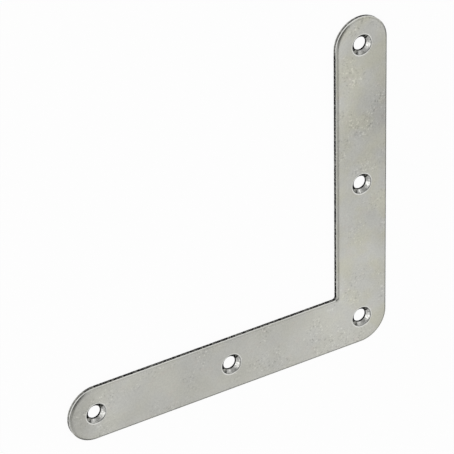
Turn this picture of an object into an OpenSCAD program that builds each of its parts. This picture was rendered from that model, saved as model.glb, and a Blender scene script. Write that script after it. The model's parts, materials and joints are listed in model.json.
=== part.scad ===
// Flat corner brace: one L-shaped piece blanked from steel sheet, with a
// countersunk screw hole at the corner and two more along each arm.
//
// Frame: the back face lies on z = 0 and the countersinks open upwards.
// The origin is on the axis of the corner hole, and the arms run along +X
// and +Y. All sizes are in millimetres.

/* [Arms] */
// Length of the arm along X, from the outer edge of the other arm to its round end
arm_x_len = 125; // [70:1:220]
// Length of the arm along Y, from the outer edge of the other arm to its round end
arm_y_len = 125; // [70:1:220]
// Width of both arms, which also sets the radius of their round ends
arm_w = 20; // [16:0.5:32]
// Thickness of the sheet
sheet_t = 1.8; // [1.6:0.1:3]

/* [Corner] */
// Radius of the outer corner
outer_r = 10; // [3:0.5:16]
// Radius of the inner corner, between the arms
inner_r = 1; // [0.5:0.1:6]

/* [Rolled edge] */
// Width of the edge that the press draws down all round the front face
roll_w = 1.2; // [0.4:0.1:2]
// Depth that this edge has dropped where it meets the wall
roll_d = 0.35; // [0.15:0.05:0.6]
// Angle at which the flat front breaks into the edge's arc
roll_lead = 3; // [1:0.5:5]

/* [Screw holes] */
// Diameter of the straight bore at the back of each hole
bore_d = 4.7; // [4.2:0.1:6]
// Diameter of the countersink at the front face
sink_d = 7.5; // [6.5:0.1:7.6]
// Angle of the countersink from side to side
sink_angle = 90; // [90:1:120]
// Holes along each arm beyond the one at the corner
holes_per_arm = 2; // [1:1:4]

/* [Hidden] */
$fn = 96;

// Half the width: the radius of the ends, and the way from an edge to the hole axes
half_w = arm_w / 2;
// Rounds a derived place to a thousandth of a millimetre, so that the faces built from it meet
function snap(v) = round(v * 1000) / 1000;
// Slope of the straight line from the top of the rolled edge to its foot
roll_slope = atan(roll_d / roll_w);
// Radius of the rolled edge's arc
roll_r = snap(norm([roll_w, roll_d]) / (2 * sin(roll_slope - roll_lead)));
// How far the centre of this arc lies inside the wall
arc_inset = snap(roll_w + roll_r * sin(roll_lead));
// Height of the centre of this arc
arc_z = snap(sheet_t - roll_r * cos(roll_lead));
// Width of the strip of sheet that turns round the inner corner
collar = 2 * roll_w;
// Centre of the outer corner's arc, along both axes
straight_start = outer_r - half_w;
// Centre of the inner corner's arc, along both axes
inner_centre = half_w + inner_r;
// Height of the conical part of a hole, at the front
sink_h = (sink_d - bore_d) / 2 / tan(sink_angle / 2);
// How far a cutting tool runs past the face that it leaves
overrun = 1;

// Half of the sheet's cross-section: its middle at x = 0, its wall at x = reach
module half_section(reach) {
    intersection() {
        square([reach, sheet_t]);
        union() {
            square([reach - arc_inset, sheet_t + overrun]);
            translate([reach - arc_inset, arc_z]) circle(r = roll_r);
            if (arc_z > 0) square([reach, arc_z]);
        }
    }
}

// The whole cross-section of an arm, rolled along both edges
module arm_section() {
    for (side = [0, 1])
        mirror([side, 0]) half_section(half_w);
}

// One arm along +X, from the end of the inner corner's arc to its round end
module arm(len) {
    end_x = len - arm_w;
    translate([inner_centre, 0, 0])
        rotate([90, 0, 90])
            linear_extrude(height = end_x - inner_centre) arm_section();
    translate([end_x, 0, 0])
        rotate([0, 0, -90])
            rotate_extrude(angle = 180) half_section(half_w);
}

// The outer edge of the corner along +X, with the sheet behind it
module corner_side() {
    translate([straight_start, inner_centre, 0])
        rotate([90, 0, 90])
            linear_extrude(height = inner_centre - straight_start)
                mirror([1, 0]) half_section(inner_centre + half_w);
}

// The quarter turn of the edge round the outer corner
module outer_corner() {
    translate([straight_start, straight_start, 0])
        rotate([0, 0, 180])
            rotate_extrude(angle = 90) half_section(outer_r);
}

// The quarter turn of the edge round the inner corner, where the sheet lies outside the arc
module inner_corner() {
    rotate([0, 0, 180])
        rotate_extrude(angle = 90)
            translate([inner_r + collar, 0]) mirror([1, 0]) half_section(collar);
}

// The corner that the arms grow from
module corner() {
    difference() {
        union() {
            corner_side();
            mirror([1, -1, 0]) corner_side();
            outer_corner();
        }
        translate([inner_centre, inner_centre, -overrun])
            cylinder(r = inner_r + collar, h = sheet_t + 2 * overrun);
    }
    translate([inner_centre, inner_centre, 0]) inner_corner();
}

// The blank as it leaves the press, with no holes
module blank() {
    corner();
    arm(arm_x_len);
    mirror([1, -1, 0]) arm(arm_y_len);
}

// One countersunk hole, as the tool that cuts it
module screw_hole() {
    translate([0, 0, -overrun]) cylinder(d = bore_d, h = sheet_t + 2 * overrun);
    translate([0, 0, sheet_t - sink_h])
        cylinder(d1 = bore_d, d2 = sink_d + 2 * overrun * tan(sink_angle / 2), h = sink_h + overrun);
}

// The holes along one arm, evenly spaced up to the centre of its round end
module arm_holes(len) {
    pitch = (len - arm_w) / holes_per_arm;
    for (i = [1 : holes_per_arm])
        translate([i * pitch, 0, 0]) screw_hole();
}

module bracket() {
    color([0.70, 0.70, 0.67])
        difference() {
            blank();
            screw_hole();
            arm_holes(arm_x_len);
            mirror([1, -1, 0]) arm_holes(arm_y_len);
        }
}

bracket();
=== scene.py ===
# %% [markdown]
# A flat corner brace joins two rails or boards at a corner. It is one L-shaped
# piece of stainless sheet, blanked in a press, with countersunk screw holes.
# This notebook dresses the measured solid from the CAD model. It loads that
# solid as a frame, models the same blank again with the marks that the press
# leaves on it, gives each kind of surface its own finish, and lights it.

# %% Load the measured frame
import json
import math
import bmesh
import bpy
from mathutils import Matrix, Vector


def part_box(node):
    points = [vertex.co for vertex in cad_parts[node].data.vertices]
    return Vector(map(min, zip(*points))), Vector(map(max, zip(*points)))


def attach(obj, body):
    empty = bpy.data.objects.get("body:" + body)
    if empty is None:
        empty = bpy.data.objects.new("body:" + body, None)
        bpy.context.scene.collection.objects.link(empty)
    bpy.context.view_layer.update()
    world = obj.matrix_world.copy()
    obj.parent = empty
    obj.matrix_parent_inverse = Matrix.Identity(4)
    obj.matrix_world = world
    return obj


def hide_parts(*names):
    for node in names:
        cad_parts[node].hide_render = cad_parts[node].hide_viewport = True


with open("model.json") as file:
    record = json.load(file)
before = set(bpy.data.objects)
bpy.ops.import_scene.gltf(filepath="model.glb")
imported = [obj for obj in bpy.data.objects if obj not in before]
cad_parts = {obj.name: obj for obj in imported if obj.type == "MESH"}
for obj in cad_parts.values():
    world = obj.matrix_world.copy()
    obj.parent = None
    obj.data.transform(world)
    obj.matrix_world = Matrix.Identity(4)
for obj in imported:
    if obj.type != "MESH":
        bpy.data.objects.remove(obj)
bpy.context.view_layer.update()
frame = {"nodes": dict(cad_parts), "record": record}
print("nodes in the frame:", sorted(frame["nodes"]))

# %% [markdown]
# Every size comes from the frame where the frame has it. The lowest corner of
# the solid is the outer corner of the brace, its height is the thickness of the
# sheet, and the record lists the axis and the radius of each screw hole. What
# the frame doesn't list is given here in millimetres, as on a drawing.

# %% Read the sizes of the brace
MM = 0.001
low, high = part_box("bracket")
bores = [m for m in frame["record"]["mounts"] if m["kind"] == "bore"]
HOLES = [Vector(m["pos_m"]) for m in bores]
BORE_R = bores[0]["dims"]["r_mm"] * MM
HALF_W = -low.x
SHEET_T = high.z
END_X = max(hole.x for hole in HOLES)
END_Y = max(hole.y for hole in HOLES)
OUTER_R = 10 * MM
INNER_R = 1 * MM
ROLL_W = 1.2 * MM
ROLL_D = 0.35 * MM
SINK_R = 3.75 * MM
WALL_H = SHEET_T - ROLL_D
print(f"arms {2 * HALF_W / MM:.0f} mm wide, sheet {SHEET_T / MM:.1f} mm, {len(HOLES)} holes")

# %% [markdown]
# Operators act on whatever is selected, so each step starts by selecting
# exactly what it needs. These helpers clear the selection, open a mesh for
# editing, and select its corners, edges or faces by a test on their place or
# on the way that they face.

# %% Selecting by place
NEAR = 1e-6


def deselect_all():
    bpy.ops.object.select_all(action="DESELECT")


def edit(piece):
    deselect_all()
    bpy.context.view_layer.objects.active = piece
    piece.select_set(True)
    bpy.ops.object.mode_set(mode="EDIT")


def close():
    bpy.ops.object.mode_set(mode="OBJECT")


def pick(piece, kind, test):
    """Selects the vertices, edges or faces of the open mesh that pass the test."""
    bpy.ops.mesh.select_mode(type=kind)
    bpy.ops.mesh.select_all(action="DESELECT")
    open_mesh = bmesh.from_edit_mesh(piece.data)
    parts = {"VERT": open_mesh.verts, "EDGE": open_mesh.edges, "FACE": open_mesh.faces}[kind]
    for part in parts:
        if test(part):
            part.select_set(True)
    open_mesh.select_flush_mode()
    bmesh.update_edit_mesh(piece.data)
    return sum(part.select for part in parts)


def near(a, b):
    return abs(a - b) < NEAR


def lies_level(face, height):
    return near(face.calc_center_median().z, height) and face.normal.z ** 2 > 0.5


def stands_upright(face):
    return abs(face.normal.z) < 0.3


def apply_modifiers(piece):
    deselect_all()
    bpy.context.view_layer.objects.active = piece
    piece.select_set(True)
    for modifier in list(piece.modifiers):
        bpy.ops.object.modifier_apply(modifier=modifier.name)


# %% [markdown]
# The real blank is cut from the sheet by one stroke of a shaped punch. A curve
# could draw its outline, but the corners of a plane are easy to pick by place
# and to round exactly. So the model starts from the square where the arms meet.
# Two of its sides are extruded into the arms, and the lines between the three
# parts are dissolved.

# %% Draw the outline with square corners
TIP_X = END_X + HALF_W
TIP_Y = END_Y + HALF_W
bpy.ops.mesh.primitive_plane_add(size=2 * HALF_W, location=(0, 0, 0))
brace = bpy.context.object
brace.name = "corner_brace"
edit(brace)
pick(brace, "EDGE", lambda e: all(near(v.co.x, HALF_W) for v in e.verts))
bpy.ops.mesh.extrude_region_move(TRANSFORM_OT_translate={"value": (TIP_X - HALF_W, 0, 0)})
pick(brace, "EDGE", lambda e: all(near(v.co.y, HALF_W) and v.co.x < HALF_W + NEAR for v in e.verts))
bpy.ops.mesh.extrude_region_move(TRANSFORM_OT_translate={"value": (0, TIP_Y - HALF_W, 0)})
pick(brace, "EDGE", lambda e: len(e.link_faces) == 2)
bpy.ops.mesh.dissolve_edges(use_verts=False)
pick(brace, "VERT", lambda v: near(v.co.x * v.co.y, -HALF_W * HALF_W))
bpy.ops.mesh.dissolve_verts()
close()
print("corners of the outline:", len(brace.data.vertices), "faces:", len(brace.data.polygons))

# %% [markdown]
# A bevel on a corner's vertex, with many segments, turns it into a true arc
# when the offset is the radius. At a tip both corners are bevelled by half the
# width, so the two arcs meet and the end is fully round.

# %% Round the corners and the tips
SEGMENTS_PER_MM = 4
QUARTER_TIP = round(math.pi / 2 * HALF_W / MM * SEGMENTS_PER_MM)
QUARTER_OUTER = round(math.pi / 2 * OUTER_R / MM * SEGMENTS_PER_MM)
QUARTER_INNER = 10


def round_corners(test, radius, segments):
    pick(brace, "VERT", test)
    bpy.ops.mesh.bevel(offset=radius, segments=segments, affect="VERTICES", clamp_overlap=False)


edit(brace)
round_corners(lambda v: near(v.co.x, TIP_X) or near(v.co.y, TIP_Y), HALF_W, QUARTER_TIP)
round_corners(lambda v: near(v.co.x, -HALF_W) and near(v.co.y, -HALF_W), OUTER_R, QUARTER_OUTER)
round_corners(lambda v: near(v.co.x, HALF_W) and near(v.co.y, HALF_W), INNER_R, QUARTER_INNER)
bpy.ops.mesh.select_all(action="SELECT")
bpy.ops.mesh.remove_doubles(threshold=NEAR)
close()
tip_error = max(abs((v.co - Vector((END_X, 0, 0))).length - HALF_W)
                for v in brace.data.vertices if v.co.x > END_X + NEAR)
print(f"outline has {len(brace.data.vertices)} points; the tip is round to {tip_error / MM:.4f} mm")

# %% [markdown]
# The cut wall will get a rough, torn band, so its straight stretches need
# columns as fine as those on the arcs. Each long edge is divided twice,
# because one call of subdivide makes at most a hundred cuts.

# %% Divide the straight edges into fine columns
LONG_EDGE = 10 * MM
COARSE_CUTS = 19
FINE_CUTS = 18
edit(brace)
pick(brace, "EDGE", lambda e: e.calc_length() > LONG_EDGE)
bpy.ops.mesh.subdivide(number_cuts=COARSE_CUTS)
bpy.ops.mesh.subdivide(number_cuts=FINE_CUTS)
close()
print("points on the outline:", len(brace.data.vertices), "faces:", len(brace.data.polygons))

# %% [markdown]
# The outline is lifted to the height of the wall. A solidify modifier would do
# that in one step, but the wall needs rows of points: the lower rows become the
# torn band, and the last one is the band that the die burnished.

# %% Raise the wall
TORN_H = 1.32 * MM
TORN_ROWS = 6
edit(brace)
bpy.ops.mesh.select_all(action="SELECT")
for rise in [TORN_H / TORN_ROWS] * TORN_ROWS + [WALL_H - TORN_H]:
    bpy.ops.mesh.extrude_region_move(TRANSFORM_OT_translate={"value": (0, 0, rise)})
close()
print("faces with the wall:", len(brace.data.polygons), "height:", round(brace.dimensions.z / MM, 3))

# %% [markdown]
# Before the punch breaks through, it draws the front edge down. That rolled
# edge is an arc in section, wider than it is high, so a bevel, which is as high
# as it is wide, doesn't fit. It is made by insets of the front face, each with
# the width and the rise of one step along the arc. A last inset with no rise
# keeps the flat front flat under smooth shading.

# %% Roll the front edge
ROLL_STEPS = 8
HOLD = 0.1 * MM
foot_angle = 2 * math.atan2(ROLL_D, ROLL_W)
roll_r = ROLL_W / math.sin(foot_angle)


def roll_point(step):
    """Distance inside the wall and height above its top, after so many steps up the arc."""
    angle = foot_angle * (1 - step / ROLL_STEPS)
    return ROLL_W - roll_r * math.sin(angle), ROLL_D - roll_r * (1 - math.cos(angle))


edit(brace)
pick(brace, "FACE", lambda f: lies_level(f, WALL_H))
for step in range(ROLL_STEPS):
    inside, height = (b - a for a, b in zip(roll_point(step), roll_point(step + 1)))
    bpy.ops.mesh.inset(thickness=inside, depth=height)
bpy.ops.mesh.inset(thickness=HOLD, depth=0)
pick(brace, "FACE", lambda f: lies_level(f, 0))
bpy.ops.mesh.inset(thickness=HOLD, depth=0)
bpy.ops.mesh.select_all(action="SELECT")
bpy.ops.mesh.normals_make_consistent(inside=False)
close()
print("thickness:", round(brace.dimensions.z / MM, 3), "faces:", len(brace.data.polygons))

# %% [markdown]
# A countersink is cut by a turned tool, so the tool is what gets modelled. A
# cylinder for the bore has its top face extruded and widened in steps: first
# the cone, then a narrow ring that keeps the cone's shading straight, then a
# shallow flare, which takes the sharp edge off the rim. Copies of the tool stand
# at every hole, and a boolean modifier cuts them out.

# %% Cut the countersunk holes
RIM_BREAK = 0.2 * MM
sink_h = SINK_R - BORE_R
TOOL_PROFILE = [
    (BORE_R, SHEET_T - sink_h),
    (SINK_R - RIM_BREAK, SHEET_T - RIM_BREAK),
    (SINK_R - 0.6 * RIM_BREAK, SHEET_T - 0.6 * RIM_BREAK),
    (SINK_R, SHEET_T - 0.22 * RIM_BREAK),
    (SINK_R + 0.5 * RIM_BREAK, SHEET_T - 0.1 * RIM_BREAK),
    (SINK_R + 1.9 * RIM_BREAK, SHEET_T + 0.04 * RIM_BREAK),
]
TOOL_SIDES = 128
OVERRUN = 1 * MM


def countersink_tool(place):
    depth = TOOL_PROFILE[0][1] + OVERRUN
    bpy.ops.mesh.primitive_cylinder_add(vertices=TOOL_SIDES, radius=BORE_R, depth=depth,
                                        location=(place.x, place.y, depth / 2 - OVERRUN))
    tool = bpy.context.object
    edit(tool)
    pick(tool, "FACE", lambda f: f.normal.z > 0.9)
    for (r, z), (next_r, next_z) in zip(TOOL_PROFILE, TOOL_PROFILE[1:]):
        bpy.ops.mesh.extrude_region_move(TRANSFORM_OT_translate={"value": (0, 0, next_z - z)})
        bpy.ops.transform.resize(value=(next_r / r, next_r / r, 1),
                                 center_override=(place.x, place.y, next_z))
    close()
    return tool


tools = [countersink_tool(hole) for hole in HOLES]
deselect_all()
for tool in tools:
    tool.select_set(True)
bpy.context.view_layer.objects.active = tools[0]
bpy.ops.object.join()
cutters = bpy.context.object
drill = brace.modifiers.new("drill", "BOOLEAN")
drill.operation = "DIFFERENCE"
drill.solver = "EXACT"
drill.object = cutters
apply_modifiers(brace)
bpy.data.objects.remove(cutters)
print("faces with the holes:", len(brace.data.polygons))

# %% [markdown]
# Below the burnished band the metal tore instead of being cut, so the wall
# there is pitted. Bump in the material would shade the pits but leave the edge
# of the sheet straight, so real points move. The torn rows go in a vertex
# group, and a displace modifier with a cloudy texture presses them in. Its
# middle level is about the brightest value of the texture, so the points move
# inwards and the outline keeps its size to a few thousandths of a millimetre.
# Round the tips the torn band is lower.

# %% Tear the lower band of the wall
TIP_TORN_H = 1.05 * MM
TORN_GRAIN = 0.35 * MM
TORN_RELIEF = 0.08 * MM


def hole_distance(place):
    return min((place.xy - hole.xy).length for hole in HOLES)


def on_torn_band(v):
    beside_wall = any(stands_upright(f) for f in v.link_faces)
    on_tip = v.co.x > END_X or v.co.y > END_Y
    top = TIP_TORN_H if on_tip else TORN_H
    return v.co.z < top - NEAR and beside_wall and hole_distance(v.co) > SINK_R


edit(brace)
torn_points = pick(brace, "VERT", on_torn_band)
bpy.ops.object.vertex_group_assign_new()
close()
brace.vertex_groups.active.name = "torn"
pitted = bpy.data.textures.new("pitted", "CLOUDS")
pitted.noise_scale = TORN_GRAIN
pitted.noise_depth = 2
pitted.contrast = 1.5
tear = brace.modifiers.new("tear", "DISPLACE")
tear.texture = pitted
tear.texture_coords = "LOCAL"
tear.strength = TORN_RELIEF
tear.mid_level = 1.08
tear.vertex_group = "torn"
apply_modifiers(brace)
print("points moved on the torn band:", torn_points)

# %% [markdown]
# Smooth shading averages the normals of the faces that meet at a point. Round
# the holes that would tilt the shading of the whole flat face, because one
# large face reaches from rim to rim. A weighted normal modifier lets the larger
# face decide at each point, so the flat faces are shaded flat.

# %% Shade the rounded parts smooth and the flat ones flat
SMOOTH_ANGLE = math.radians(28)
deselect_all()
brace.select_set(True)
bpy.ops.object.shade_smooth_by_angle(angle=SMOOTH_ANGLE)
even = brace.modifiers.new("even", "WEIGHTED_NORMAL")
even.mode = "FACE_AREA"
even.weight = 80
even.keep_sharp = True
apply_modifiers(brace)
front = max(brace.data.polygons, key=lambda p: p.area * p.normal.z)
tilt = max(brace.data.corner_normals[i].vector.angle(front.normal) for i in front.loop_indices)
print(f"the shading of the front face tilts by {math.degrees(tilt):.2f} degrees at most")

# %% [markdown]
# Shader maths reads best as ordinary arithmetic. Value wraps a socket, and each
# operator on it adds the Math node that it needs, so 1 - mask is one node.

# %% Shader maths
class Value:
    """A number or colour that varies from place to place: the output socket of a node."""

    def __init__(self, nodes, socket):
        self.nodes = nodes
        self.socket = socket

    def math(self, operation, first, second=0.0):
        return self.nodes.node("ShaderNodeMath", {"operation": operation}, {0: first, 1: second})

    def __add__(self, other):
        return self.math("ADD", self, other)

    def __sub__(self, other):
        return self.math("SUBTRACT", self, other)

    def __mul__(self, other):
        return self.math("MULTIPLY", self, other)

    def __pow__(self, other):
        return self.math("POWER", self, other)

    def __rsub__(self, other):
        return self.math("SUBTRACT", other, self)

    __radd__ = __add__
    __rmul__ = __mul__

    def least(self, other):
        return self.math("MINIMUM", self, other)

    def wave(self):
        return self.math("SINE", self)

    def ramp(self, start, end):
        """0 up to start, 1 from end, and a smooth rise in between."""
        return self.nodes.node("ShaderNodeMapRange", {"interpolation_type": "SMOOTHSTEP"},
                               {"Value": self, "From Min": start, "From Max": end})

    def band(self, centre, half_width):
        """1 at the centre, fading to 0 at half a width away on both sides."""
        return self.ramp(centre - half_width, centre) * (1 - self.ramp(centre, centre + half_width))


# %% [markdown]
# Nodes wraps a node tree. Its method node() adds any other node, sets it, and
# feeds its inputs with values, colours or links. Colours are mixed and scaled
# by nodes of their own, because a Math node would turn them grey.

# %% Node trees
class Nodes:
    """A node tree under construction."""

    def __init__(self, tree):
        self.tree = tree
        self.tree.nodes.clear()

    def node(self, kind, settings=None, inputs=None, output=0):
        made = self.tree.nodes.new(kind)
        for name, setting in (settings or {}).items():
            setattr(made, name, setting)
        for name, given in (inputs or {}).items():
            if isinstance(given, Value):
                self.tree.links.new(given.socket, made.inputs[name])
            else:
                made.inputs[name].default_value = given
        return made if output is None else Value(self, made.outputs[output])

    def blend(self, share, first, second):
        """A colour between two, as a linear mix."""
        first, second = (c if isinstance(c, Value) else (*c, 1) for c in (first, second))
        return self.node("ShaderNodeMix", {"data_type": "RGBA"},
                         {"Factor": share, 6: first, 7: second}, output=2)

    def scaled(self, colour, factor):
        """A colour made lighter or darker by a factor."""
        return self.node("ShaderNodeVectorMath", {"operation": "SCALE"}, {0: colour, "Scale": factor})


# %% [markdown]
# A finish is a material for this brace. It knows its place on the object, so it
# can tell the arms, their tips, their inner side and the holes apart. Every
# pattern follows from that place, and stays with the brace when it is moved.

# %% Finishes that know their place
class Finish(Nodes):
    """A material, with the place on the object in x, y and z, in metres."""

    def __init__(self, name):
        self.material = bpy.data.materials.new(name)
        self.material.use_nodes = True
        super().__init__(self.material.node_tree)
        self.place = self.node("ShaderNodeTexCoord", output="Object")
        split = self.node("ShaderNodeSeparateXYZ", {}, {"Vector": self.place}, output=None)
        self.x, self.y, self.z = (Value(self, split.outputs[axis]) for axis in "XYZ")

    def from_axis(self, place):
        """Distance to the upright axis through a place."""
        across, along = self.x - place.x, self.y - place.y
        return (across * across + along * along) ** 0.5

    def from_hole_axis(self):
        """Distance to the axis of the nearest screw hole."""
        nearest = None
        for hole in HOLES:
            distance = self.from_axis(hole)
            nearest = nearest.least(distance) if nearest else distance
        return nearest

    def x_arm_share(self):
        """1 on the arm along X and 0 on the other, with a narrow blend where they meet."""
        return (self.x - self.y).ramp(-1 * MM, 1 * MM)

    def tip_share(self):
        """1 round the tips and 0 along the straight arms."""
        return (self.x - END_X).ramp(-3 * MM, 3 * MM) + (self.y - END_Y).ramp(-1 * MM, 8 * MM)

    def inner_share(self):
        """1 on the side of the arms that faces the crook, and 0 on the outer side."""
        return self.x.least(self.y).ramp(-2 * MM, 5 * MM)

    def vector(self, x, y, z):
        return self.node("ShaderNodeCombineXYZ", {}, {"X": x, "Y": y, "Z": z})

    def noise(self, grain, place=None, detail=2.0, roughness=0.5):
        """Cloudy noise from 0 to 1 with features about as large as grain, in metres."""
        return self.node("ShaderNodeTexNoise", {},
                         {"Vector": place or self.place, "Scale": 1 / grain, "Detail": detail,
                          "Roughness": roughness})

    def metal(self, colour, roughness, height, depth):
        """Ends the material: height runs from 0 to 1, and depth is its relief in metres."""
        normal = self.node("ShaderNodeBump", {}, {"Height": height, "Distance": depth})
        shader = self.node("ShaderNodeBsdfPrincipled", {},
                           {"Base Color": colour, "Roughness": roughness, "Metallic": 1.0,
                            "Normal": normal})
        self.node("ShaderNodeOutputMaterial", {}, {"Surface": shader}, output=None)
        return self.material


# %% [markdown]
# Painted light and shade drift over the grey of the sheet, for the slow fall of
# light across it. It is painted palest near the corner, darker beyond the middle
# of the arm along X, a little paler again towards both ends, and darker at the
# tip of the arm along Y. It also drifts across the arm along X. Each line adds
# or takes away one such share.

# %% Painted light and shade on the grey
# Painted light and shade: a slow drift of brightness over the sheet.
def painted_light_drift(f):
    on_x_arm = f.x_arm_share()
    from_corner = f.x + f.y
    drift = 0.08 * (1 - from_corner.ramp(20 * MM, 60 * MM))
    drift = drift + 0.09 * (1 - f.from_axis(Vector((1, 7, 0)) * MM).ramp(3 * MM, 18 * MM))
    drift = drift + 0.04 * from_corner.ramp(75 * MM, 100 * MM)
    drift = drift - 0.05 * on_x_arm * from_corner.band(75 * MM, 30 * MM)
    drift = drift + 0.05 * (1 - on_x_arm) * from_corner.ramp(70 * MM, 85 * MM)
    drift = drift - 0.18 * (f.y - END_Y).ramp(-4 * MM, 6 * MM)
    return drift + on_x_arm * f.y * (0.09 / HALF_W)


# %% [markdown]
# The rolled edge gets painted shade in three places: where it bends down on the
# inner side of the arms, in a thin line round the tips, and along its foot on
# the outer side. All three follow the height above the back face.

# %% Painted shade on the rolled edge
def painted_edge_shade(f, rolled):
    tip = f.tip_share()
    inner = f.inner_share()
    bent = rolled * f.z.ramp(WALL_H + 0.05 * MM, WALL_H + 0.20 * MM)
    # Painted shade where the edge bends down, round the tips and along the foot.
    painted_bend_shade = bent * inner * (1 - tip) * (0.28 - 0.12 * f.x_arm_share())
    painted_tip_line = tip * (0.2 + 0.16 * f.x_arm_share()) * f.z.band(WALL_H + 0.21 * MM, 0.13 * MM)
    painted_foot_line = 0.35 * (1 - inner) * f.z.band(WALL_H, 0.12 * MM)
    return (1 - painted_bend_shade) * (1 - painted_tip_line) * (1 - painted_foot_line)


# %% [markdown]
# The flat faces keep the satin finish of the rolled sheet, which is a little
# yellower on the arm along X. Cloudy patches break up its grey, with small pale
# and dark specks where it was rubbed, and a fine grain, drawn out along the
# arms, blurs what it reflects. The rolled edge is smoother, because the die
# burnished it.

# %% Satin face
def satin_face():
    f = Finish("satin_face")
    patches = f.noise(16 * MM, detail=2)
    mottle = f.noise(2.2 * MM, detail=3, roughness=0.6)
    tint = f.noise(9 * MM, f.vector(f.y, f.z, f.x), detail=3)
    warmth = f.noise(3 * MM, f.vector(f.z, f.x, f.y), detail=3)
    fine = f.noise(0.55 * MM, detail=2, roughness=0.7)
    specks = f.noise(0.7 * MM, f.vector(f.y, f.x, f.z), detail=1)
    rubbed = f.noise(12 * MM, f.vector(f.y, f.x, f.z), detail=3).ramp(0.45, 0.62)
    along_x = f.noise(0.25 * MM, f.vector(f.x * 0.06, f.y, f.z), detail=2)
    along_y = f.noise(0.25 * MM, f.vector(f.x, f.y * 0.06, f.z), detail=2)
    on_x_arm = f.x_arm_share()
    grain = along_x * on_x_arm + along_y * (1 - on_x_arm)
    yellow = tint.ramp(0.35, 0.65) * (0.4 + 0.6 * on_x_arm)
    grey = f.blend(yellow, (0.51, 0.51, 0.48), (0.51, 0.505, 0.435))
    grey = f.blend(warmth.ramp(0.55, 0.75) * 0.4, grey, (0.52, 0.49, 0.45))
    cloud = 0.34 * (patches - 0.5) + 0.08 * (mottle - 0.5) + 0.38 * (fine - 0.5)
    marks = rubbed * (0.30 * specks.ramp(0.60, 0.73) - 0.28 * (1 - specks).ramp(0.60, 0.73))
    rolled = (SHEET_T - f.z).ramp(0.02 * MM, 0.12 * MM) * f.z.ramp(0.5 * WALL_H, 0.9 * WALL_H)
    # The drift adds painted light and shade, and the rolled edge gets its painted shade.
    grey = f.scaled(grey, (1.045 + painted_light_drift(f) + cloud + marks) * painted_edge_shade(f, rolled))
    rough = (0.32 + 0.10 * mottle + 0.06 * grain) * (1 - 0.6 * rolled)
    return f.metal(grey, rough, grain * 0.5 + mottle * 0.5, 0.010 * MM)


# %% [markdown]
# The wall has two bands. The upper one was burnished by the die and carries
# fine upright lines. The torn one below is coarse and painted nearly black: it
# is duller metal, with painted shade for its pits. Round the tips the cut was
# cleaner, so the torn band is lower there, and on the inner side it is paler
# and has a pale foot. The burnished band is duller where the arm along Y begins
# to turn.

# %% Cut wall
def cut_wall():
    f = Finish("cut_wall")
    lines = f.noise(0.15 * MM, f.vector(f.x, f.y, f.z * 0.08), detail=2)
    pits = f.noise(0.5 * MM, f.vector(f.x, f.y, f.z * 0.35), detail=2, roughness=0.6)
    tip = f.tip_share()
    edge = TORN_H - tip * (TORN_H - TIP_TORN_H) + (f.noise(1.2 * MM) - 0.5) * (0.2 * MM)
    torn = (edge - f.z).ramp(-0.04 * MM, 0.06 * MM)
    inner = f.inner_share()
    clean = tip * inner * (0.8 - 0.35 * f.x_arm_share())
    foot = tip * inner * (1 - f.z.ramp(0.22 * MM, 0.5 * MM))
    # Painted shade: the pits of the torn band are painted nearly black.
    pitted_painted_shade = f.blend(pits.ramp(0.49, 0.60), (0.004, 0.004, 0.004), (0.26, 0.26, 0.24))
    clean_dark = f.blend(pits.ramp(0.35, 0.65), (0.24, 0.24, 0.22), (0.50, 0.50, 0.47))
    bright = f.blend(tip, (0.93, 0.93, 0.90), (0.76, 0.76, 0.73))
    bright = f.scaled(bright, 1 - 0.4 * (f.y - END_Y).band(1 * MM, 5 * MM))
    dark = f.blend(foot * 0.7, f.blend(clean, pitted_painted_shade, clean_dark), (0.60, 0.60, 0.57))
    shade = f.blend(torn, bright, dark)
    rough = 0.25 + 0.4 * torn
    return f.metal(shade, rough, lines * (1 - torn) * 0.4 + pits * torn, 0.12 * MM)


# %% [markdown]
# The tool leaves the countersink brighter than the sheet, with fine rings
# about the axis, and a bright rim. The bore and the foot of the cone are painted
# nearly black, as painted shade in the hole, and a dark line runs just under the
# rim. All of this follows the distance to the nearest hole axis.

# %% Turned countersink
def turned_sink():
    f = Finish("turned_sink")
    radius = f.from_hole_axis()
    rings = (radius * (2 * math.pi / (0.2 * MM))).wave() * 0.5 + 0.5
    chatter = f.noise(0.6 * MM, detail=2)
    clean = f.blend(chatter.ramp(0.35, 0.65), (0.64, 0.64, 0.62), (0.36, 0.36, 0.34))
    # Painted shade: the bore and the foot of the cone are nearly black.
    colour = f.blend(radius.ramp(BORE_R + 0.08 * MM, BORE_R + 0.26 * MM), (0.01, 0.01, 0.01), clean)
    colour = f.blend(radius.band(SINK_R - 0.15 * MM, 0.2 * MM) * 0.4, colour, (0.08, 0.08, 0.07))
    colour = f.blend(radius.ramp(SINK_R - 0.05 * MM, SINK_R + 0.05 * MM), colour, (0.70, 0.70, 0.67))
    rough = 0.04 + 0.04 * chatter
    return f.metal(colour, rough, rings * 0.25 + chatter * 0.75, 0.004 * MM)


# %% [markdown]
# Each finish goes on the faces where that surface is, picked by place and
# normal. The bores go with their countersinks.

# %% Put the finishes on
FLAT = 0.9999


def is_sink(face):
    turned = abs(face.normal.z) < FLAT
    return turned and hole_distance(face.calc_center_median()) < SINK_R + 2 * RIM_BREAK


def is_wall(face):
    return stands_upright(face) and not is_sink(face)


brace.data.materials.clear()
for material in (satin_face(), cut_wall(), turned_sink()):
    brace.data.materials.append(material)
edit(brace)
for slot, test in ((1, is_wall), (2, is_sink)):
    count = pick(brace, "FACE", test)
    brace.active_material_index = slot
    bpy.ops.object.material_slot_assign()
    print(brace.data.materials[slot].name, "on", count, "faces")
close()
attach(brace, "root")
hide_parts("bracket")
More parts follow.
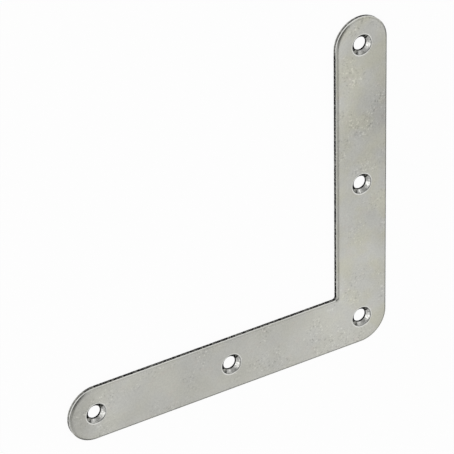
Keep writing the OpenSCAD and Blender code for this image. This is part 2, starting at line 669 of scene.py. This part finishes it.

# %% [markdown]
# The brace lies on a plain white floor. To the camera and in reflections the
# floor is mostly its own white, with a share of the light that falls on it, so
# the brace keeps a faint shadow. To all other light it is a plain matt white.
# Reflections show the floor painted dark inside the holes: painted shade, where
# the sheet would shade it.

# %% White floor
FLOOR_SIZE = 6.0
FLOOR_DROP = 0.05 * MM
SHADOW_SHARE = 0.05
bpy.ops.mesh.primitive_plane_add(size=FLOOR_SIZE, location=(0, 0, 0))
floor = bpy.context.object
floor.name = "floor"
edit(floor)
bpy.ops.mesh.select_all(action="SELECT")
bpy.ops.transform.translate(value=(0, 0, -FLOOR_DROP))
close()
white = Finish("white_floor")
open_floor = white.from_hole_axis().ramp(BORE_R, BORE_R + 0.1 * MM)
glow = white.node("ShaderNodeEmission", {}, {"Color": (1, 1, 1, 1), "Strength": 1.0})
ray = white.node("ShaderNodeLightPath", output=None)
camera_ray, glossy_ray, glass_ray = (Value(white, ray.outputs[f"Is {kind} Ray"])
                                     for kind in ("Camera", "Glossy", "Transmission"))
# Painted shade: in reflections the floor inside the holes is painted dark.
shaded = glossy_ray * (1 - open_floor)
floor_white_and_painted_shade = white.blend(shaded, (0.9, 0.9, 0.9), (0.02, 0.02, 0.02))
matt = white.node("ShaderNodeBsdfDiffuse", {}, {"Color": floor_white_and_painted_shade})
seen = camera_ray + (glossy_ray + glass_ray) * open_floor
surface = white.node("ShaderNodeMixShader", {}, {0: seen * (1 - SHADOW_SHARE), 1: matt, 2: glow})
white.node("ShaderNodeOutputMaterial", {}, {"Surface": surface}, output=None)
floor.data.materials.append(white.material)
print(f"floor {FLOOR_SIZE:.0f} m wide, {FLOOR_DROP / MM:.2f} mm under the brace")

# %% [markdown]
# Satin metal shows a blurred picture of the room. The room is a white tent.
# The dark of the studio shows through its open top, through soft openings in
# its sides, and under its lower hem, except where a white card closes most of
# it on the outer side of the arm along Y. Two soft panels stand beside the
# brace, and give the countersinks and the rolled edges their bright lines.

# %% Soft panels
AIM = Vector((53.2, 52.6, 0.9)) * MM
PANEL_DISTANCE = 1.5


def toward(azimuth, elevation):
    a, e = math.radians(azimuth), math.radians(elevation)
    return Vector((math.cos(a) * math.cos(e), math.sin(a) * math.cos(e), math.sin(e)))


def soft_panel(name, azimuth, elevation, size, power):
    data = bpy.data.lights.new(name, "AREA")
    data.size = size
    data.energy = power
    panel = bpy.data.objects.new(name, data)
    bpy.context.scene.collection.objects.link(panel)
    panel.location = AIM + PANEL_DISTANCE * toward(azimuth, elevation)
    panel.rotation_euler = toward(azimuth, elevation).to_track_quat("Z", "Y").to_euler()


soft_panel("left_panel", 92, 37, 1.0, 2.2)
soft_panel("right_panel", 314, 26, 0.2, 0.06)
print("panels stand", PANEL_DISTANCE, "m from the middle of the brace")

# %% [markdown]
# The tent is the world. It is white all round, and each opening mixes in the
# dark of the studio, as far as it is open. A round opening is a ramp over the
# cosine of the angle to its middle, so its border is soft. The hem is a ramp
# over the height.

# %% White tent
world = bpy.data.worlds.new("tent")
bpy.context.scene.world = world
world.use_nodes = True
tent = Nodes(world.node_tree)
direction = tent.node("ShaderNodeTexCoord", output="Generated")


def facing(azimuth, elevation):
    """Cosine of the angle between the direction looked in and the one given."""
    return tent.node("ShaderNodeVectorMath", {"operation": "DOT_PRODUCT"},
                     {0: direction, 1: toward(azimuth, elevation)}, output="Value")


def opening(azimuth, elevation, half_angle, soft_angle):
    """1 inside a round opening of the tent, fading to 0 across its soft border."""
    border = math.cos(math.radians(half_angle + soft_angle))
    return facing(azimuth, elevation).ramp(border, math.cos(math.radians(half_angle)))


WHITE = (1.0, 1.0, 1.0)
DARK = (0.02, 0.02, 0.02)
TOP = (opening(70, 76, 10, 18), 0.82)
SIDES = [
    (opening(180, 59, 8, 16), 0.3),
    (opening(203, 67, 6, 8), 0.8),
    (opening(124, 47, 8, 8), 0.95),
    (opening(148, 29, 4, 8), 0.8),
    (opening(186, 20, 8, 12), 0.5),
    (opening(6, 40, 14, 18), 0.45),
    (opening(318, 27, 14, 14), 0.1),
]
room = WHITE
for gap, open_share in [TOP] + SIDES:
    room = tent.blend(gap * open_share, room, DARK)
card = opening(160, 5, 10, 16)
above_hem = facing(0, 90).ramp(math.sin(math.radians(10)), math.sin(math.radians(22)))
room = tent.blend((1 - above_hem) * (0.9 - 0.6 * card), room, DARK)
light = tent.node("ShaderNodeBackground", {}, {"Color": room, "Strength": 1.0})
tent.node("ShaderNodeOutputWorld", {}, {"Surface": light}, output=None)
print("openings in the tent:", len(SIDES) + 1)

# %% [markdown]
# The photograph looks down on the brace from inside its corner, from far off
# with a long lens, and the picture is turned so that one arm stands upright.

# %% Camera
CAMERA_PLACE = Vector((665.3, 584.3, 859.2)) * MM
CAMERA_ROLL = math.radians(128.69)
PHOTO_WIDTH = 454
FOCAL_PIXELS = 3617.5
camera_data = bpy.data.cameras.new("camera")
camera = bpy.data.objects.new("camera", camera_data)
bpy.context.scene.collection.objects.link(camera)
level = (CAMERA_PLACE - AIM).to_track_quat("Z", "Y").to_matrix()
turned = level @ Matrix.Rotation(CAMERA_ROLL, 3, "Z")
camera.matrix_world = Matrix.Translation(CAMERA_PLACE) @ turned.to_4x4()
camera_data.sensor_width = 36
camera_data.lens = camera_data.sensor_width * FOCAL_PIXELS / PHOTO_WIDTH
camera_data.clip_end = 20
bpy.context.scene.camera = camera
bpy.context.scene.view_settings.view_transform = "Standard"
print(f"lens {camera_data.lens:.0f} mm, {(CAMERA_PLACE - AIM).length:.2f} m from the brace")
